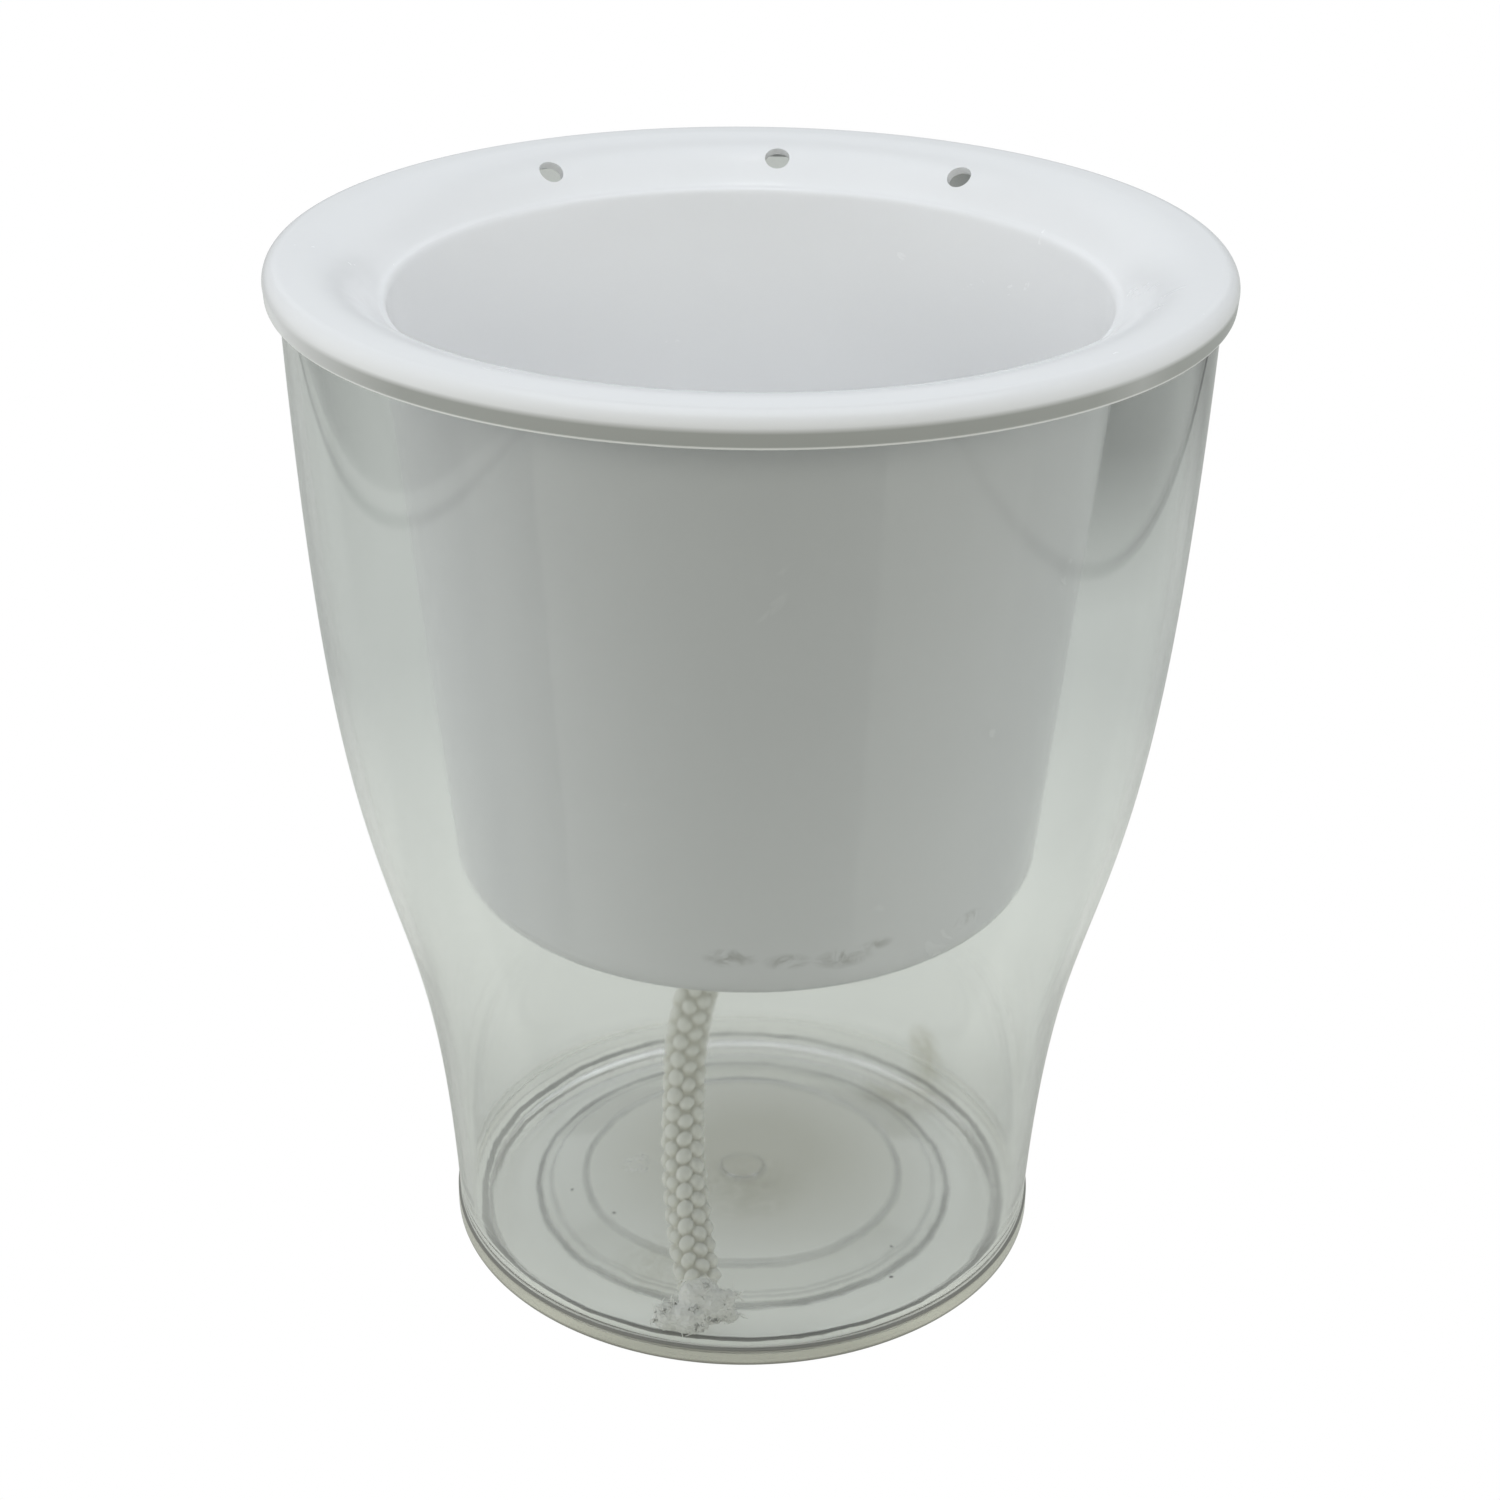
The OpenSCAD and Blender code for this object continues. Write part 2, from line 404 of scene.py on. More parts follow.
def reservoir_profile():
    floor_z = RECESS_H + FLOOR_T
    waist_z = FOOT_H + EDGE_R
    seat = FOOT_R - FOOT_SEAT_W
    wall = curve((WAIST_R, waist_z), BELLY_LOW, BELLY_HIGH, (LIP_R, RESERVOIR_H - EDGE_R), 70)
    inner = [p for p in moved(wall, (-WALL_T, 0)) if p[1] > floor_z + INNER_FILLET]
    foot = rounded(
        [
            (seat - 0.4, RECESS_H, 0),
            (seat, 0, 0.2),
            (FOOT_R, 0, 0.4),
            (FOOT_R, FOOT_H, 0.2),
            (WAIST_R, waist_z, 0),
        ]
    )
    lip = rounded(
        [
            (*wall[-1], 0),
            (LIP_R, RESERVOIR_H, 0.4),
            (LIP_R - WALL_T, RESERVOIR_H, 0.4),
            (LIP_R - WALL_T, RESERVOIR_H - EDGE_R, 0),
        ]
    )
    fillet_at = (inner[0][0] - INNER_FILLET, floor_z + INNER_FILLET)
    fillet = arc(fillet_at, INNER_FILLET, 0, -90, 6)
    floor = rounded(
        [
            (*fillet[-1], 0),
            (RAMP_R, floor_z, 0.5),
            (PLATEAU_R, floor_z + PLATEAU_H, 0.5),
            (GATE_R, floor_z + PLATEAU_H, 0.15),
            (GATE_R - 0.4, floor_z + PLATEAU_H + GATE_H, 0.15),
            (0, floor_z + PLATEAU_H + GATE_H, 0),
        ]
    )
    under = rounded(
        [
            (0, RECESS_H + PLATEAU_H, 0),
            (PLATEAU_R + 0.4, RECESS_H + PLATEAU_H, 0.5),
            (RAMP_R + 0.4, RECESS_H, 0.5),
            (seat - 0.4, RECESS_H, 0),
        ]
    )
    return foot + wall[1:-1] + lip + list(reversed(inner))[1:] + fillet[1:-1] + floor + under[:-1]


def pot_wall_r(z):
    return POT_R + (MOUTH_R + POT_T - POT_R) * (z - POT_Z) / (MOUTH_Z - POT_Z)


def pot_profile():
    bead_at = (FLANGE_R - BEAD_R, CREST_Z - BEAD_R)
    top = arc(bead_at, BEAD_R, 0, 90, 14)
    crest = (CREST_IN_R, CREST_Z)
    foot = (MOUTH_R + 1.1, MOUTH_Z + 0.3)
    funnel = curve(crest, moved([crest], FUNNEL_MID_IN)[0], moved([foot], FUNNEL_MID_OUT)[0], foot, 24)
    mouth_end = (MOUTH_R - 0.1, MOUTH_Z - 1.2)
    mouth = curve(foot, (MOUTH_R + 0.3, MOUTH_Z + 0.1), (MOUTH_R, MOUTH_Z - 0.3), mouth_end, 6)
    corner = (pot_wall_r(POT_Z + POT_CORNER) - POT_CORNER, POT_Z + POT_CORNER)
    inner_corner = arc(corner, POT_CORNER - POT_T, 0, -90, 12)
    outer_corner = arc(corner, POT_CORNER, -90, 0, 12)
    neck = (pot_wall_r(MOUTH_Z - 3.8), MOUTH_Z - 3.8)
    hole = rounded(
        [
            (*inner_corner[-1], 0),
            (WICK_HOLE_R, POT_Z + POT_T, 0.3),
            (WICK_HOLE_R, POT_Z, 0.3),
            (*outer_corner[0], 0),
        ]
    )
    skirt = rounded(
        [
            (LIP_R - WALL_T, RESERVOIR_H, 0),
            (SKIRT_IN, RESERVOIR_H, 0.2),
            (SKIRT_IN, SKIRT_Z, 0.4),
            (FLANGE_R - 0.2, SKIRT_Z, 0.7),
            (FLANGE_R, bead_at[1], 0),
        ]
    )
    inside = straight(mouth[-1], inner_corner[0], 24)
    outside = straight(outer_corner[-1], neck, 24)
    under = list(reversed(moved(funnel, (0, -FUNNEL_DROP))))
    return (
        top + funnel[:-1] + mouth + inside + inner_corner[:-1] + hole
        + outer_corner[1:] + outside + [neck] + under + skirt[:-1]
    )


def drill_rim_holes(pot):
    """Three round holes through the funnel at the back of the rim."""
    drills = bmesh.new()
    for turn in RIM_HOLE_TURNS:
        place = (
            Matrix.Rotation(math.radians(-turn), 4, "Z")
            @ Matrix.Translation((0, RIM_HOLE_AT * MM, (MOUTH_Z + RIM_HOLE_RISE) * MM))
            @ Matrix.Rotation(math.radians(RIM_HOLE_LEAN), 4, "X")
        )
        bmesh.ops.create_cone(
            drills, cap_ends=True, segments=40, radius1=RIM_HOLE_R * MM, radius2=RIM_HOLE_R * MM,
            depth=0.014, matrix=place,
        )
    mesh = bpy.data.meshes.new("drills")
    drills.to_mesh(mesh)
    drills.free()
    tool = bpy.data.objects.new("drills", mesh)
    bpy.context.scene.collection.objects.link(tool)
    cut = pot.modifiers.new("rim_holes", "BOOLEAN")
    cut.operation = "DIFFERENCE"
    cut.solver = "EXACT"
    cut.object = tool
    ready = bpy.context.evaluated_depsgraph_get()
    drilled = bpy.data.meshes.new_from_object(pot.evaluated_get(ready))
    pot.modifiers.remove(cut)
    pot.data = drilled
    drilled.shade_smooth()
    drilled.set_sharp_from_angle(angle=math.radians(50))
    bpy.data.objects.remove(tool)


# ---------------------------------------------------------------- materials
def new_material(name):
    material = bpy.data.materials.new(name)
    material.use_nodes = True
    nodes = material.node_tree.nodes
    nodes.clear()
    output = nodes.new("ShaderNodeOutputMaterial")
    shader = nodes.new("ShaderNodeBsdfPrincipled")
    material.node_tree.links.new(shader.outputs[0], output.inputs["Surface"])
    return material, nodes, material.node_tree.links, shader, output


def object_place(nodes, links, scale=(1, 1, 1)):
    """The place on the object, in metres, stretched by scale."""
    where = nodes.new("ShaderNodeTexCoord")
    mapping = nodes.new("ShaderNodeMapping")
    mapping.inputs["Scale"].default_value = scale
    links.new(where.outputs["Object"], mapping.inputs["Vector"])
    return mapping.outputs[0]


def noise_of(nodes, links, place, scale, detail=4, roughness=0.55, distortion=0.0):
    found = nodes.new("ShaderNodeTexNoise")
    found.inputs["Scale"].default_value = scale
    found.inputs["Detail"].default_value = detail
    found.inputs["Roughness"].default_value = roughness
    found.inputs["Distortion"].default_value = distortion
    links.new(place, found.inputs["Vector"])
    return found.outputs["Fac"]


def remap(nodes, links, value, low, high, to_low, to_high):
    found = nodes.new("ShaderNodeMapRange")
    found.inputs["From Min"].default_value = low
    found.inputs["From Max"].default_value = high
    found.inputs["To Min"].default_value = to_low
    found.inputs["To Max"].default_value = to_high
    links.new(value, found.inputs["Value"])
    return found.outputs[0]


def mixed_colour(nodes, links, share, a, b):
    found = nodes.new("ShaderNodeMix")
    found.data_type = "RGBA"
    links.new(share, found.inputs[0])
    for value, socket in ((a, found.inputs[6]), (b, found.inputs[7])):
        if isinstance(value, tuple):
            socket.default_value = (*value, 1)
        else:
            links.new(value, socket)
    return found.outputs[2]


def bump(nodes, links, height, strength, distance, shader):
    found = nodes.new("ShaderNodeBump")
    found.inputs["Strength"].default_value = strength
    found.inputs["Distance"].default_value = distance
    links.new(height, found.inputs["Height"])
    links.new(found.outputs[0], shader.inputs["Normal"])
    return found


def near_point(nodes, links, place, centre, reach, soft):
    """1 within reach of a centre and 0 beyond soft more, in millimetres, in place's own space."""
    measure = nodes.new("ShaderNodeVectorMath")
    measure.operation = "DISTANCE"
    measure.inputs[1].default_value = [c * MM for c in centre]
    links.new(place, measure.inputs[0])
    return remap(nodes, links, measure.outputs["Value"], reach * MM, (reach + soft) * MM, 1, 0)


def greatest(nodes, links, values):
    """The greatest of several values."""
    found = values[0]
    for value in values[1:]:
        step = nodes.new("ShaderNodeMath")
        step.operation = "MAXIMUM"
        links.new(found, step.inputs[0])
        links.new(value, step.inputs[1])
        found = step.outputs[0]
    return found


def times(nodes, links, a, b):
    found = nodes.new("ShaderNodeMath")
    found.operation = "MULTIPLY"
    for value, socket in ((a, found.inputs[0]), (b, found.inputs[1])):
        if isinstance(value, (int, float)):
            socket.default_value = value
        else:
            links.new(value, socket)
    return found.outputs[0]


def near_value(nodes, links, value, centre, reach, soft):
    """1 where a length is within reach of centre, and 0 beyond soft more, in millimetres."""
    off = nodes.new("ShaderNodeMath")
    off.operation = "SUBTRACT"
    off.inputs[1].default_value = centre * MM
    links.new(value, off.inputs[0])
    size = nodes.new("ShaderNodeMath")
    size.operation = "ABSOLUTE"
    links.new(off.outputs[0], size.inputs[0])
    return remap(nodes, links, size.outputs[0], reach * MM, (reach + soft) * MM, 1, 0)


def distance_from_axis(nodes, links, place):
    flat = nodes.new("ShaderNodeVectorMath")
    flat.operation = "MULTIPLY"
    flat.inputs[1].default_value = (1, 1, 0)
    links.new(place, flat.inputs[0])
    length = nodes.new("ShaderNodeVectorMath")
    length.operation = "LENGTH"
    links.new(flat.outputs[0], length.inputs[0])
    return length.outputs["Value"]


# Painted shade: dark lines at the steps of the clear base, standing in for the shade its edges make: radius,
# half width, softness and strength.
BASE_LINES = [
    (RAMP_R - 0.2, 0.25, 0.5, 0.7),
    (RAMP_R - 2.6, 0.1, 0.4, 0.3),
    (PLATEAU_R, 0.2, 0.6, 0.4),
    (GATE_R, 0.1, 0.3, 0.25),
]
# Dried water marks: centre, reach, softness and strength.
STAINS = [
    ((30, 27, 2.5), 2.5, 7.0, 0.8),
    ((36, 26, 3.0), 1.5, 5.0, 0.9),
    ((36.5, 34.5, 4), 1.5, 4.0, 1.0),
    ((35.8, 35.6, 7.5), 0.8, 4.0, 1.0),
    ((1, -6, 4.5), 3.0, 9.0, 0.35),
    ((-14, -28, 4.0), 2.0, 8.0, 0.3),
]
# Places where the floor is scratched white: centre, reach and softness.
SCUFFS = [((-18.9, 0.7, 4.5), 1.0, 2.6), ((-20.3, -1.2, 4.5), 0.5, 1.5)]
# Specks of dirt on the floor.
SPECKS = [
    (26.2, -21, 1.9), (25.8, -29.2, 1.9), (-22.7, -15, 4.4),
    (-30.7, -7, 3.5), (14, 31, 4), (-37, 20, 1.9),
]
# The painted dark ring of shade where the floor meets the wall, and where the foot's outer face begins.
FLOOR_CORNER_R = 47.3
FOOT_FACE_R = 50.5


def height_and_depth(nodes, links, place):
    """A place's height above the table and its place from front to back."""
    split = nodes.new("ShaderNodeSeparateXYZ")
    links.new(place, split.inputs[0])
    return split.outputs["Z"], split.outputs["Y"]


def wavering_radius(nodes, links, place):
    """The distance from the axis, with a slight waver, so that moulded lines aren't perfect circles."""
    waver = remap(nodes, links, noise_of(nodes, links, place, 120, 3), 0.3, 0.7, -0.3 * MM, 0.3 * MM)
    radius = nodes.new("ShaderNodeMath")
    radius.operation = "ADD"
    links.new(distance_from_axis(nodes, links, place), radius.inputs[0])
    links.new(waver, radius.inputs[1])
    return radius.outputs[0]


def floor_lines(nodes, links, place, radius):
    """The painted shade rings on the reservoir's floor and over the foot ring's inner edge."""
    height, _ = height_and_depth(nodes, links, place)
    patchy = remap(nodes, links, noise_of(nodes, links, place, 70, 3), 0.3, 0.65, 0.55, 1)
    lines = []
    for at, half, soft, strength in BASE_LINES:
        line = near_value(nodes, links, radius, at, half, soft)
        lines.append(times(nodes, links, times(nodes, links, line, strength), patchy))
    corner = near_value(nodes, links, radius, FLOOR_CORNER_R, 0.5, 0.3)
    top = remap(nodes, links, height, 1.0 * MM, 1.3 * MM, 0, 1)
    lines.append(times(nodes, links, times(nodes, links, corner, top), 0.95))
    seat = near_value(nodes, links, radius, FOOT_R - FOOT_SEAT_W - 0.2, 0.45, 0.3)
    under = remap(nodes, links, height, 0.6 * MM, 0.9 * MM, 1, 0)
    lines.append(times(nodes, links, times(nodes, links, seat, under), 0.5))
    return lines


def foot_shade(nodes, links, place, radius):
    """The painted shade lines over and under the foot's outer face, and a darker yellowish band between
    them.
    All three fade out towards the back."""
    height, depth = height_and_depth(nodes, links, place)
    edge = 0.3
    face = remap(nodes, links, radius, (FOOT_FACE_R - edge) * MM, (FOOT_FACE_R + edge) * MM, 0, 1)
    front = remap(nodes, links, depth, 5 * MM, 30 * MM, 1, 0.15)
    face = times(nodes, links, face, front)
    ledge = near_value(nodes, links, height, FOOT_H + 0.2, 0.2, 0.3)
    heel = near_value(nodes, links, height, 0.1, 0.25, 0.4)
    band = remap(nodes, links, height, FOOT_H * MM, (FOOT_H + 0.5) * MM, 1, 0)
    lines = [
        times(nodes, links, times(nodes, links, ledge, face), 0.95),
        times(nodes, links, times(nodes, links, heel, face), 0.8),
    ]
    return lines, times(nodes, links, times(nodes, links, band, face), 0.95)


def water_marks(nodes, links, place):
    """Blotchy dried water marks, one for each of STAINS."""
    blotch = noise_of(nodes, links, place, 260, 6, 0.7, 1.5)
    blotch = remap(nodes, links, blotch, 0.38, 0.56, 0, 1)
    stains = []
    for centre, reach, soft, strength in STAINS:
        spot = near_point(nodes, links, place, centre, reach, soft)
        stains.append(times(nodes, links, times(nodes, links, spot, strength), blotch))
    return stains


def scratches_and_painted_glint(nodes, links, place, radius):
    """The scratched spots of SCUFFS, and a painted highlight: bright streaks along the front of the ramp's
    outer edge.
    """
    height, depth = height_and_depth(nodes, links, place)
    scratches = noise_of(nodes, links, place, 800, 3, 0.6, 2.0)
    scratches = remap(nodes, links, scratches, 0.54, 0.6, 0, 1)
    spots = [near_point(nodes, links, place, centre, reach, soft) for centre, reach, soft in SCUFFS]
    white_marks = times(nodes, links, greatest(nodes, links, spots), scratches)
    # Painted highlight: a thin bright line along the front of the ramp's edge.
    glint = near_value(nodes, links, radius, RAMP_R + 0.9, 0.1, 0.2)
    streaky = remap(nodes, links, noise_of(nodes, links, place, 150, 2), 0.5, 0.6, 0, 0.7)
    fore = remap(nodes, links, depth, -22 * MM, -28 * MM, 0, 1)
    top = remap(nodes, links, height, 1.0 * MM, 1.3 * MM, 0, 1)
    glint = times(nodes, links, times(nodes, links, glint, streaky), times(nodes, links, fore, top))
    return greatest(nodes, links, [white_marks, glint])


def base_marks_and_painted_light(nodes, links, place):
    """The base's painted shade lines, foot band, water marks, specks of dirt, scratches and painted
    highlight, as 0 to 1.
    """
    radius = wavering_radius(nodes, links, place)
    height, _ = height_and_depth(nodes, links, place)
    low = remap(nodes, links, height, 5.5 * MM, 6.5 * MM, 1, 0)
    foot_lines, band = foot_shade(nodes, links, place, radius)
    lines = floor_lines(nodes, links, place, radius) + foot_lines
    dark = times(nodes, links, greatest(nodes, links, lines), low)
    foot_band_and_stains = greatest(nodes, links, [band, *water_marks(nodes, links, place)])
    spots = [near_point(nodes, links, place, centre, 0.25, 0.2) for centre in SPECKS]
    specks = greatest(nodes, links, spots)
    return dark, foot_band_and_stains, specks, scratches_and_painted_glint(nodes, links, place, radius)


def clear_plastic():
    """Slightly smoky clear plastic, a little scratched, that lets lamps through to the pot inside."""
    material, nodes, links, shader, output = new_material("clear_plastic")
    place = object_place(nodes, links)
    smudge = noise_of(nodes, links, place, 22, 6, 0.6, 0.6)
    scuff = noise_of(nodes, links, object_place(nodes, links, (1, 1, 0.12)), 420, 3)
    tint = mixed_colour(nodes, links, smudge, (0.965, 0.975, 0.97), (0.93, 0.94, 0.935))
    dark, foot_band_and_stains, specks, white_marks = base_marks_and_painted_light(nodes, links, place)
    tint = mixed_colour(nodes, links, foot_band_and_stains, tint, (0.56, 0.54, 0.44))
    # Painted shade: the base's dark lines, which also let less light through.
    tint = mixed_colour(nodes, links, dark, tint, (0.16, 0.16, 0.15))
    tint = mixed_colour(nodes, links, specks, tint, (0.02, 0.02, 0.02))
    # White scratches, and the painted highlight along the ramp's edge.
    tint = mixed_colour(nodes, links, white_marks, tint, (1, 1, 1))
    links.new(tint, shader.inputs["Base Color"])
    rough = remap(nodes, links, smudge, 0.35, 0.75, 0.02, 0.075)
    links.new(rough, shader.inputs["Roughness"])
    opaque = greatest(nodes, links, [dark, white_marks])
    links.new(remap(nodes, links, opaque, 0, 1, 1, 0.3), shader.inputs["Transmission Weight"])
    shader.inputs["IOR"].default_value = 1.49
    bump(nodes, links, scuff, 0.1, 0.00004, shader)
    clear = nodes.new("ShaderNodeBsdfTransparent")
    clear.inputs[0].default_value = (0.95, 0.96, 0.955, 1)
    path = nodes.new("ShaderNodeLightPath")
    mix = nodes.new("ShaderNodeMixShader")
    links.new(path.outputs["Is Shadow Ray"], mix.inputs[0])
    links.new(shader.outputs[0], mix.inputs[1])
    links.new(clear.outputs[0], mix.inputs[2])
    links.new(mix.outputs[0], output.inputs["Surface"])
    return material


# Grey rub marks low on the pot: centre, reach and softness. They are wider than they are high.
GRIME_FLATNESS = 2.4
GRIME = [
    ((-2.2, -49.6, 79.0), 1.2, 3.6), ((6.6, -49.2, 78.2), 0.9, 3.2), ((15.5, -47.2, 77.8), 1.2, 4.2),
    ((20.4, -45, 79.2), 0.4, 2.8), ((35.5, -34.4, 77.6), 1.0, 3.2), ((46.6, -16.6, 76.7), 1.0, 3.0),
]


def bead_shade(nodes, links, place, body):
    """Painted shade on the bead's upright face, greyer at the front and on the right, and a painted
    highlight along its lower edge.
    """
    split = nodes.new("ShaderNodeSeparateXYZ")
    links.new(place, split.inputs[0])
    outer = remap(nodes, links, distance_from_axis(nodes, links, place), 73.4 * MM, 74.4 * MM, 0, 1)
    front = remap(nodes, links, split.outputs["Y"], -30 * MM, -58 * MM, 0, 1)
    right = remap(nodes, links, split.outputs["X"], 36 * MM, 60 * MM, 0, 1)
    face = near_value(nodes, links, split.outputs["Z"], SKIRT_Z + 1.5, 0.9, 0.8)
    face = times(nodes, links, face, greatest(nodes, links, [front, right]))
    edge = near_value(nodes, links, split.outputs["Z"], SKIRT_Z, 0.35, 0.25)
    body = mixed_colour(nodes, links, times(nodes, links, face, outer), body, (0.44, 0.45, 0.43))
    return mixed_colour(nodes, links, times(nodes, links, edge, outer), body, (0.98, 0.98, 0.97))


def rub_marks(nodes, links, place):
    """Flat grey smears low on the pot, one for each of GRIME."""
    patchy = noise_of(nodes, links, place, 260, 5, 0.65, 1.2)
    patchy = remap(nodes, links, patchy, 0.42, 0.58, 0, 0.85)
    tall = object_place(nodes, links, (1, 1, GRIME_FLATNESS))
    marks = []
    for (x, y, z), reach, soft in GRIME:
        marks.append(near_point(nodes, links, tall, (x, y, z * GRIME_FLATNESS), reach, soft))
    return times(nodes, links, patchy, greatest(nodes, links, marks))


def white_plastic():
    """White moulded plastic: glossy, with faint unevenness, painted shade and a painted highlight on the
    bead, and rub marks low on the pot.
    """
    material, nodes, links, shader, _ = new_material("white_plastic")
    place = object_place(nodes, links)
    broad = noise_of(nodes, links, place, 16, 4, 0.5)
    fine = noise_of(nodes, links, place, 900, 2)
    rub = noise_of(nodes, links, place, 60, 5, 0.65, 0.8)
    body = mixed_colour(nodes, links, broad, (0.885, 0.89, 0.90), (0.90, 0.905, 0.915))
    body = bead_shade(nodes, links, place, body)
    grime = rub_marks(nodes, links, place)
    body = mixed_colour(nodes, links, grime, body, (0.50, 0.50, 0.48))
    links.new(body, shader.inputs["Base Color"])
    links.new(remap(nodes, links, rub, 0.3, 0.8, 0.2, 0.3), shader.inputs["Roughness"])
    shader.inputs["IOR"].default_value = 1.49
    bump(nodes, links, fine, 0.05, 0.00005, shader)
    return material


def cotton_cord():
    """Off-white cotton: painted shade between the stitches, with fine fibres."""
    material, nodes, links, shader, _ = new_material("cotton_cord")
    place = object_place(nodes, links)
    stitch = nodes.new("ShaderNodeAttribute")
    stitch.attribute_name = "stitch"
    along = nodes.new("ShaderNodeAttribute")
    along.attribute_name = "cord_place"
    stretch = nodes.new("ShaderNodeMapping")
    stretch.inputs["Scale"].default_value = (0.7, 4.5, 1)
    links.new(along.outputs["Vector"], stretch.inputs["Vector"])
    fibre = noise_of(nodes, links, stretch.outputs[0], 1.6, 5, 0.7, 0.4)
    blotch = noise_of(nodes, links, place, 130, 3)
    light = mixed_colour(nodes, links, blotch, (0.96, 0.96, 0.89), (0.99, 0.99, 0.94))
    # Painted shade: darker where the stitches sink towards the core.
    painted_crevice_shade = remap(nodes, links, stitch.outputs["Fac"], 0.05, 0.75, 1, 0)
    base = mixed_colour(nodes, links, painted_crevice_shade, light, (0.68, 0.67, 0.59))
    fibres = remap(nodes, links, fibre, 0.35, 0.7, 0, 0.3)
    links.new(mixed_colour(nodes, links, fibres, base, (0.58, 0.57, 0.51)), shader.inputs["Base Color"])
    shader.inputs["Roughness"].default_value = 0.9
    shader.inputs["Specular IOR Level"].default_value = 0.2
    shader.inputs["Sheen Weight"].default_value = 0.25
    shader.inputs["Sheen Roughness"].default_value = 0.5
    bump(nodes, links, fibre, 0.35, 0.00015, shader)
    return material


def loose_cotton():
    """The same cotton where it is unravelled: no stitches, only fibres."""
    material, nodes, links, shader, _ = new_material("loose_cotton")
    place = object_place(nodes, links)
    clump = noise_of(nodes, links, place, 700, 5, 0.7)
    fine = noise_of(nodes, links, place, 4500, 3, 0.7, 0.5)
    colour = mixed_colour(nodes, links, clump, (0.98, 0.98, 0.94), (1.0, 1.0, 0.98))
    links.new(colour, shader.inputs["Base Color"])
    shader.inputs["Roughness"].default_value = 0.92
    shader.inputs["Specular IOR Level"].default_value = 0.15
    shader.inputs["Sheen Weight"].default_value = 0.3
    bump(nodes, links, fine, 0.5, 0.0001, shader)
    return material


# ---------------------------------------------------------------- the object's pieces
def add_wick():
    braid, path, length = braided_cord("wick_braid", WICK_ROUTE)
    braid.data.materials.append(cotton_cord())
    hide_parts("wick")
    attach(braid, "inner_pot")
    fray = frayed_end("wick_frayed_yarns")
    fray.data.materials.append(loose_cotton())
    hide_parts("wick_frayed_end")
    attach(fray, "inner_pot")


def add_reservoir():
    def uneven(r, z, angle):
        if z < 6 or z > RESERVOIR_H - 3:
            return 0
        return 0.03 * math.sin(3 * angle + z / 23) + 0.02 * math.sin(7 * angle - z / 11)

    shell = lathe("reservoir_shell", reservoir_profile(), 288, uneven)
    shell.data.materials.append(clear_plastic())
    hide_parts("reservoir")
    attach(shell, "reservoir")


def add_inner_pot():
    pot = lathe("inner_pot_shell", pot_profile(), 288)
    drill_rim_holes(pot)
    pot.data.materials.append(white_plastic())
    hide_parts("inner_pot")
    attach(pot, "inner_pot")


# ---------------------------------------------------------------- stage
FLOOR_HALF = 3.0
# Dark strips beside the paper, seen only in reflections: left edge, right edge and strength.
TABLE_STRIPS = [(335, 343, 0.9), (343, 3000, 0.12), (-372, -365, 0.9), (-3000, -395, 0.75)]
PAPER_COLOUR = (0.36, 0.37, 0.352)
PAPER_GLOW = 0.75


def flat_card(name, width, height, place, face, colour, emission=0.0):
    """A rectangle centred on place, facing the point face."""
    w, h = width / 2, height / 2
    piece = new_piece(name, [(-w, -h, 0), (w, -h, 0), (w, h, 0), (-w, h, 0)], [(0, 1, 2, 3)], smooth=False)
    look = (Vector(face) - Vector(place)).normalized()
    piece.matrix_world = Matrix.Translation(place) @ look.to_track_quat("Z", "Y").to_matrix().to_4x4()
    material, _, _, shader, _ = new_material(name)
    shader.inputs["Base Color"].default_value = (*colour, 1)
    shader.inputs["Roughness"].default_value = 0.95
    shader.inputs["Specular IOR Level"].default_value = 0
    shader.inputs["Emission Color"].default_value = (1, 1, 1, 1)
    shader.inputs["Emission Strength"].default_value = emission
    piece.data.materials.append(material)
    return piece


def paper_light_pool_and_shadow(nodes, links, place):
    """The paper's colour, with a painted pool of light round the planter and a painted shadow under the
    middle of its base.
    """
    split = nodes.new("ShaderNodeSeparateXYZ")
    links.new(place, split.inputs[0])
    depth = split.outputs["Y"]
    near = remap(nodes, links, distance_from_axis(nodes, links, place), 110 * MM, 240 * MM, 1, 0)
    back = remap(nodes, links, depth, 32 * MM, 55 * MM, 0, 1)
    fore = remap(nodes, links, depth, -14 * MM, -36 * MM, 0, 1)
    fore = times(nodes, links, fore, remap(nodes, links, depth, -38 * MM, -46 * MM, 1, 0))
    bright = times(nodes, links, near, greatest(nodes, links, [back, fore]))
    # Painted shadow of the planter on the paper under its base.
    under = near_point(nodes, links, place, (3, 10, 0), 10, 26)
    colour = mixed_colour(nodes, links, near, PAPER_COLOUR, (0.40, 0.41, 0.385))
    colour = mixed_colour(nodes, links, bright, colour, (0.475, 0.485, 0.455))
    return mixed_colour(nodes, links, under, colour, (0.275, 0.275, 0.235))


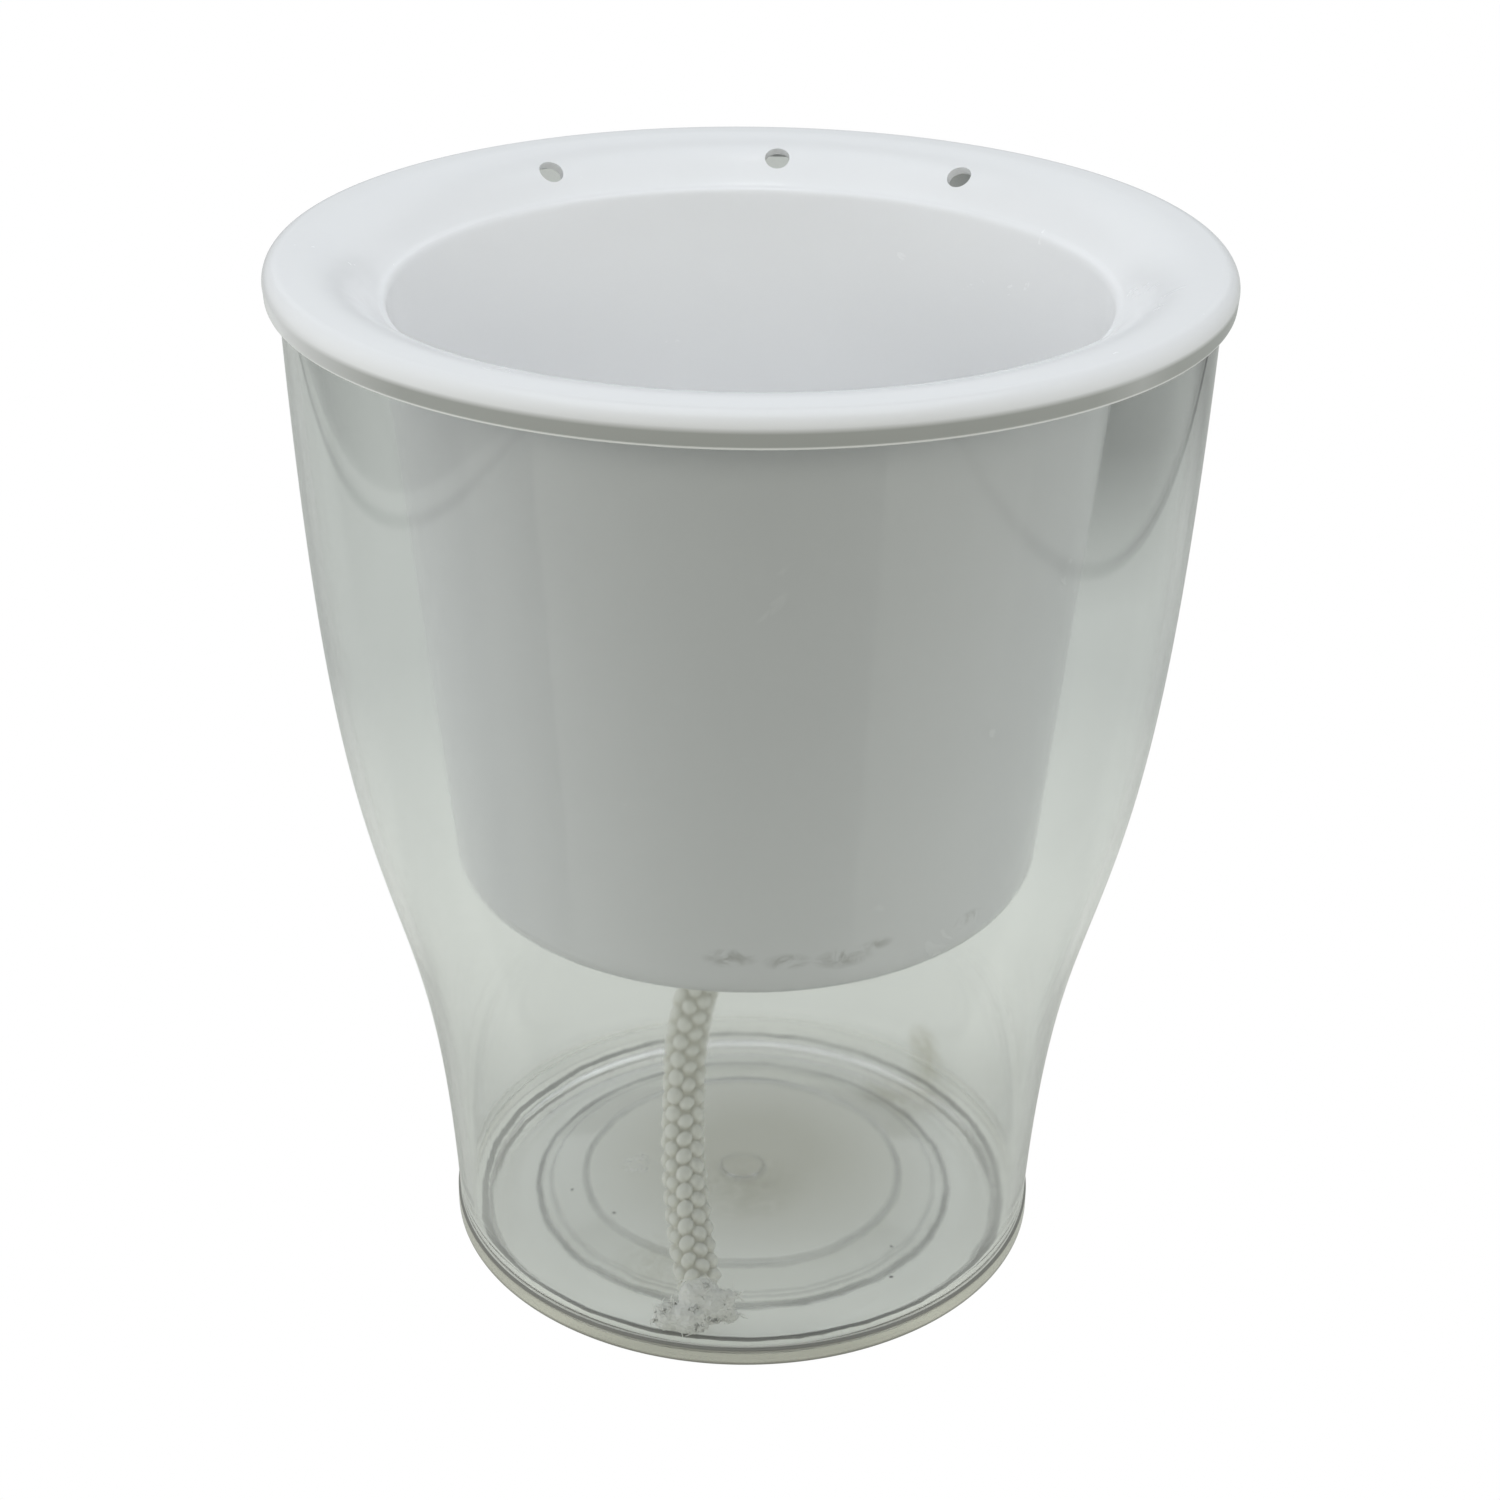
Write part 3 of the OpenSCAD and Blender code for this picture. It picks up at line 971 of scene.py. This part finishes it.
def paper_colour(nodes, links, place, path):
    """The paper with the darker parts that reflections in the wall, and looks through it, meet; those seen
    through it, and the front, are painted shade.
    """
    split = nodes.new("ShaderNodeSeparateXYZ")
    links.new(place, split.inputs[0])
    strips = []
    for low, high, strength in TABLE_STRIPS:
        strip = near_value(nodes, links, split.outputs["X"], (low + high) / 2, (high - low) / 2, 4)
        strips.append(times(nodes, links, strip, strength))
    mirrored = times(nodes, links, greatest(nodes, links, strips), path.outputs["Is Glossy Ray"])
    # Painted shade on the paper far behind and to the right, seen only through the wall.
    right = remap(nodes, links, split.outputs["X"], 50 * MM, 95 * MM, 0, 1)
    far = remap(nodes, links, split.outputs["Y"], 250 * MM, 375 * MM, 0, 0.65)
    dim = times(nodes, links, times(nodes, links, right, far), path.outputs["Is Transmission Ray"])
    # Painted shade over the paper in front of the planter, darker further forward.
    front = remap(nodes, links, split.outputs["Y"], -110 * MM, -260 * MM, 0, 0.5)
    colour = paper_light_pool_and_shadow(nodes, links, place)
    colour = mixed_colour(nodes, links, mirrored, colour, (0.05, 0.05, 0.05))
    colour = mixed_colour(nodes, links, dim, colour, (0.0, 0.0, 0.0))
    return mixed_colour(nodes, links, front, colour, (0.1, 0.1, 0.1))


def add_floor():
    """A floor that is pure white to the camera. Glass and lamps meet a sheet of pale grey paper, which glows
    as painted light.
    """
    floor = flat_card("floor", 2 * FLOOR_HALF, 2 * FLOOR_HALF, (0, 0, 0), (0, 0, 1), PAPER_COLOUR)
    material = floor.data.materials[0]
    nodes, links = material.node_tree.nodes, material.node_tree.links
    shader = nodes["Principled BSDF"]
    output = nodes["Material Output"]
    place = nodes.new("ShaderNodeNewGeometry").outputs["Position"]
    path = nodes.new("ShaderNodeLightPath")
    colour = paper_colour(nodes, links, place, path)
    links.new(colour, shader.inputs["Base Color"])
    links.new(colour, shader.inputs["Emission Color"])
    # Painted light: the paper glows for all rays but the camera's.
    shader.inputs["Emission Strength"].default_value = PAPER_GLOW
    white = nodes.new("ShaderNodeEmission")
    white.inputs[1].default_value = 1.0
    mix = nodes.new("ShaderNodeMixShader")
    links.new(path.outputs["Is Camera Ray"], mix.inputs[0])
    links.new(shader.outputs[0], mix.inputs[1])
    links.new(white.outputs[0], mix.inputs[2])
    links.new(mix.outputs[0], output.inputs["Surface"])


def add_light(name, place, width, height, power, colour=(1, 1, 1), face=(0, 0, 0.1)):
    lamp = bpy.data.lights.new(name, "AREA")
    lamp.shape = "RECTANGLE"
    lamp.size = width
    lamp.size_y = height
    lamp.energy = power
    lamp.color = colour
    light = bpy.data.objects.new(name, lamp)
    bpy.context.scene.collection.objects.link(light)
    look = (Vector(face) - Vector(place)).normalized()
    light.matrix_world = Matrix.Translation(place) @ look.to_track_quat("-Z", "Y").to_matrix().to_4x4()
    return light


def add_pot_light():
    """A narrow beam straight down into the pot, so that its inside isn't dark."""
    lamp = bpy.data.lights.new("pot_beam", "SPOT")
    lamp.energy = 20
    lamp.specular_factor = 0
    lamp.spot_size = 2 * math.atan(0.05 / 1.05)
    lamp.spot_blend = 0.4
    lamp.shadow_soft_size = 0.02
    light = bpy.data.objects.new("pot_beam", lamp)
    bpy.context.scene.collection.objects.link(light)
    light.location = (0, 0, 1.2)


def add_lights():
    world = bpy.data.worlds.new("world")
    world.use_nodes = True
    nodes, links = world.node_tree.nodes, world.node_tree.links
    background = nodes["Background"]
    path = nodes.new("ShaderNodeLightPath")
    sky = mixed_colour(nodes, links, path.outputs["Is Camera Ray"], (0.43, 0.44, 0.435), (1, 1, 1))
    links.new(sky, background.inputs[0])
    bpy.context.scene.world = world
    add_light("top_softbox", (0, -0.05, 1.2), 1.2, 1.0, 4.4, (0.84, 0.90, 1.0))
    add_light("back_softbox", (0, 1.3, 0.9), 1.6, 0.9, 2, (0.95, 0.98, 1.0))
    left = add_light("left_softbox", (-1.1, 0.05, 0.27), 0.9, 0.5, 3.8)
    right = add_light("right_softbox", (1.1, 0.05, 0.27), 0.9, 0.5, 1.9)
    front = add_light("front_softbox", (0, -0.7, 0.40), 0.9, 0.3, 1.75, (1.0, 0.99, 0.90))
    for light in (left, right, front):
        light.visible_glossy = False
        light.visible_transmission = False
    add_pot_light()
    flag = flat_card("front_flag", 1.5, 0.62, (0, -0.75, 0.31), (0, 0, 0.31), (0.02, 0.02, 0.02))
    flag.visible_camera = False


def set_look():
    scene = bpy.context.scene
    scene.view_settings.view_transform = "Standard"
    scene.cycles.use_denoising = True
    scene.cycles.max_bounces = 20
    scene.cycles.transmission_bounces = 20
    scene.cycles.transparent_max_bounces = 16
    scene.cycles.caustics_reflective = False


add_camera()
add_wick()
add_reservoir()
add_inner_pot()
add_floor()
add_lights()
set_look()
